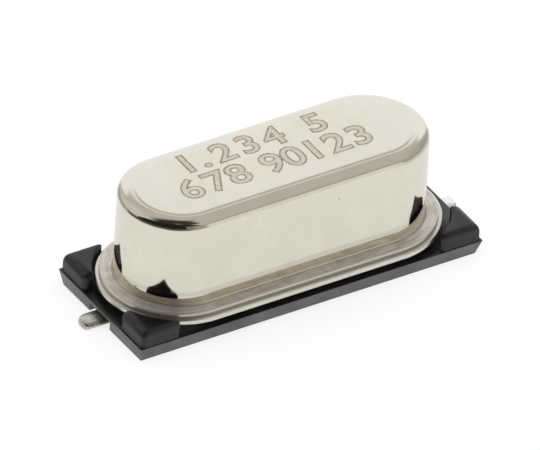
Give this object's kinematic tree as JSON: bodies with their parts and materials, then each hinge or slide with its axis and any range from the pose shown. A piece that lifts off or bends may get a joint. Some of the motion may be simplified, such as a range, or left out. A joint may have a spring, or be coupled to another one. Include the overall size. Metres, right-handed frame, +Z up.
{
  "type": "crystal oscillator",
  "caption": "Low-profile quartz crystal unit: oblong welded metal can on a black moulded base with corner blocks and flat solder feet at its ends.",
  "frame": {"origin": "middle of the underside, on the board's surface", "axes": "+X along the can towards the right-hand lead, +Y across it, +Z up away from the board"},
  "size_m": [0.0126, 0.0046, 0.0039],
  "materials": {
    "base_plastic": "moulded, satin",
    "header_metal": "nickel plated, satin",
    "seal_glass": "fused",
    "lead_tin": "tinned",
    "clip_nickel": "plain",
    "quartz": "lapped",
    "silver_film": "evaporated",
    "silver_cement": "dull",
    "can_metal": "nickel plated, satin"
  },
  "bodies": {
    "root": {"insulator_base": "base_plastic", "header": "header_metal", "glass_seal_left": "seal_glass", "glass_seal_right": "seal_glass", "lead_left": "lead_tin", "lead_right": "lead_tin", "crystal_clip_left": "clip_nickel", "crystal_clip_right": "clip_nickel", "crystal_blank": "quartz", "electrode_top": "silver_film", "electrode_bottom": "silver_film", "cement_left": "silver_cement", "cement_right": "silver_cement", "can_cover": "can_metal"}
  },
  "joints": []
}
